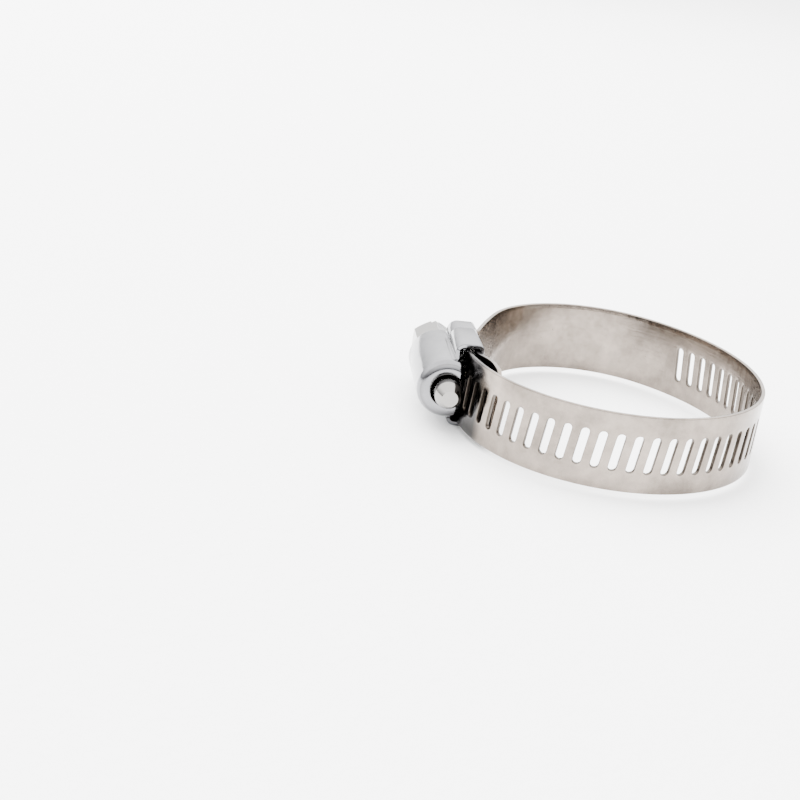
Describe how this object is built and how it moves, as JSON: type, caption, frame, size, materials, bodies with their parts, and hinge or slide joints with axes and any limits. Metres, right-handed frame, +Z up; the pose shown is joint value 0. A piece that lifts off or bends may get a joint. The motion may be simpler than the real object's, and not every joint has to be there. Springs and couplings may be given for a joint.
{
  "type": "worm-drive hose clamp",
  "caption": "Worm-drive hose clamp: a slotted steel band runs through a stamped housing, and the hex-headed worm screw in it draws the loop tight around a hose.",
  "frame": {"origin": "centre of the footprint, on the surface that the clamp lies on", "axes": "+Z up along the axis of the clamped hose; the screw lies along Y with its head towards +Y; the housing is on the -X side"},
  "size_m": [0.0584, 0.0576, 0.0145],
  "materials": {
    "band_steel": "satin rolled strip with fine scratches",
    "housing_steel": "bright pressed sheet",
    "screw_steel": "bright machined"
  },
  "bodies": {
    "root": {"housing": "housing_steel", "band_fixed_end": "band_steel"},
    "screw": {"worm_screw": "screw_steel"},
    "feed": {"band_free_end": "band_steel"},
    "link_01": {"band_link_01": "band_steel"},
    "link_02": {"band_link_02": "band_steel"},
    "link_03": {"band_link_03": "band_steel"},
    "link_04": {"band_link_04": "band_steel"},
    "link_05": {"band_link_05": "band_steel"},
    "link_06": {"band_link_06": "band_steel"},
    "link_07": {"band_link_07": "band_steel"},
    "link_08": {"band_link_08": "band_steel"},
    "link_09": {"band_link_09": "band_steel"},
    "tongue": {"band_tongue": "band_steel"}
  },
  "joints": [
    {"name": "screw_turn", "type": "hinge", "parent": "root", "child": "screw", "pos_m": [-0.02423, 0.00138, 0.00725], "axis": [0, -1, 0], "range_deg": [-180, 900]},
    {"name": "band_feed", "type": "hinge", "parent": "root", "child": "feed", "pos_m": [0.00862, -0.00182, 0.00725], "axis": [0, 0, -1], "range_deg": [-2.7, 13.2]},
    {"name": "band_bend_01", "type": "hinge", "parent": "feed", "child": "link_01", "pos_m": [-0.01947, -0.01235, 0.00725], "axis": [0, 0, 1], "range_deg": [-0.3, 1.3]},
    {"name": "band_bend_02", "type": "hinge", "parent": "link_01", "child": "link_02", "pos_m": [-0.00914, -0.02483, 0.00725], "axis": [0, 0, 1], "range_deg": [-0.3, 1.2]},
    {"name": "band_bend_03", "type": "hinge", "parent": "link_02", "child": "link_03", "pos_m": [0.00668, -0.02827, 0.00725], "axis": [0, 0, 1], "range_deg": [-0.4, 1.5]},
    {"name": "band_bend_04", "type": "hinge", "parent": "link_03", "child": "link_04", "pos_m": [0.02126, -0.02121, 0.00725], "axis": [0, 0, 1], "range_deg": [-0.4, 1.8]},
    {"name": "band_bend_05", "type": "hinge", "parent": "link_04", "child": "link_05", "pos_m": [0.02844, -0.00667, 0.00725], "axis": [0, 0, 1], "range_deg": [-0.5, 2]},
    {"name": "band_bend_06", "type": "hinge", "parent": "link_05", "child": "link_06", "pos_m": [0.02694, 0.00958, 0.00725], "axis": [0, 0, 1], "range_deg": [-0.5, 1.9]},
    {"name": "band_bend_07", "type": "hinge", "parent": "link_06", "child": "link_07", "pos_m": [0.01779, 0.0231, 0.00725], "axis": [0, 0, 1], "range_deg": [-0.4, 1.5]},
    {"name": "band_bend_08", "type": "hinge", "parent": "link_07", "child": "link_08", "pos_m": [0.00265, 0.02838, 0.00725], "axis": [0, 0, 1], "range_deg": [-0.3, 1.2]},
    {"name": "band_bend_09", "type": "hinge", "parent": "link_08", "child": "link_09", "pos_m": [-0.01144, 0.02075, 0.00725], "axis": [0, 0, 1], "range_deg": [-0.3, 1.2]},
    {"name": "tongue_flex", "type": "hinge", "parent": "root", "child": "tongue", "pos_m": [-0.01973, -0.00522, 0.00725], "axis": [0, 0, 1], "range_deg": [-1.2, 5.5]}
  ],
  "couplings": [
    {"joint": "band_feed", "follows": "screw_turn", "ratio": 0.014589},
    {"joint": "band_bend_01", "follows": "screw_turn", "ratio": 0.001326},
    {"joint": "band_bend_02", "follows": "screw_turn", "ratio": 0.001272},
    {"joint": "band_bend_03", "follows": "screw_turn", "ratio": 0.001514},
    {"joint": "band_bend_04", "follows": "screw_turn", "ratio": 0.001926},
    {"joint": "band_bend_05", "follows": "screw_turn", "ratio": 0.002157},
    {"joint": "band_bend_06", "follows": "screw_turn", "ratio": 0.001999},
    {"joint": "band_bend_07", "follows": "screw_turn", "ratio": 0.001574},
    {"joint": "band_bend_08", "follows": "screw_turn", "ratio": 0.001221},
    {"joint": "band_bend_09", "follows": "screw_turn", "ratio": 0.001175},
    {"joint": "tongue_flex", "follows": "screw_turn", "ratio": 0.006}
  ]
}
